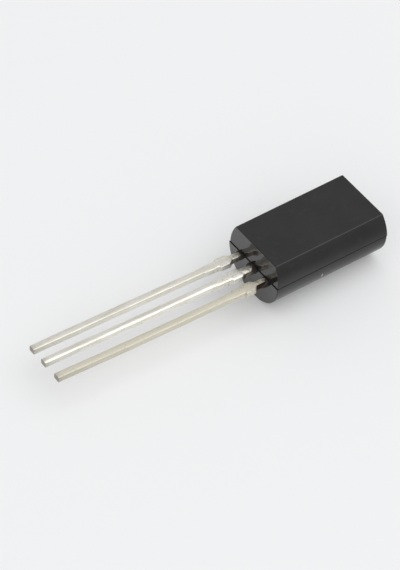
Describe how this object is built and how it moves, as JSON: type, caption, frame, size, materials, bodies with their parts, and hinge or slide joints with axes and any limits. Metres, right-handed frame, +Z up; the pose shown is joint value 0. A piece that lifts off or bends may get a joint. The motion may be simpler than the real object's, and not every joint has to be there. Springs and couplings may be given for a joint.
{
  "type": "to-92 transistor",
  "caption": "Small through-hole transistor: a glossy black moulded case with a flat face and a half-round back, with straight flat tinned leads side by side out of one end.",
  "frame": {"origin": "centre of the bounding box's footprint, on the surface that the transistor lies on: Z = 0 is the narrow land along the lowest line of the rounded back", "axes": "+X across the body, +Y from the lead tips to the far end of the body, +Z up, out of the flat face. Seen on the flat face with the leads down, the leads are emitter at -X, collector in the middle and base at +X."},
  "size_m": [0.005, 0.0224, 0.0039],
  "materials": {
    "moulding": "semi-gloss black moulding compound",
    "tinned_copper": "satin tin plating over copper",
    "silicon": "polished silicon",
    "solder": "dull solder",
    "gold": "bright drawn gold wire"
  },
  "bodies": {
    "root": {"case": "moulding", "collector_lead": "tinned_copper", "emitter_lead": "tinned_copper", "base_lead": "tinned_copper", "die": "silicon", "die_attach": "solder", "emitter_wire": "gold", "base_wire": "gold"}
  },
  "joints": []
}
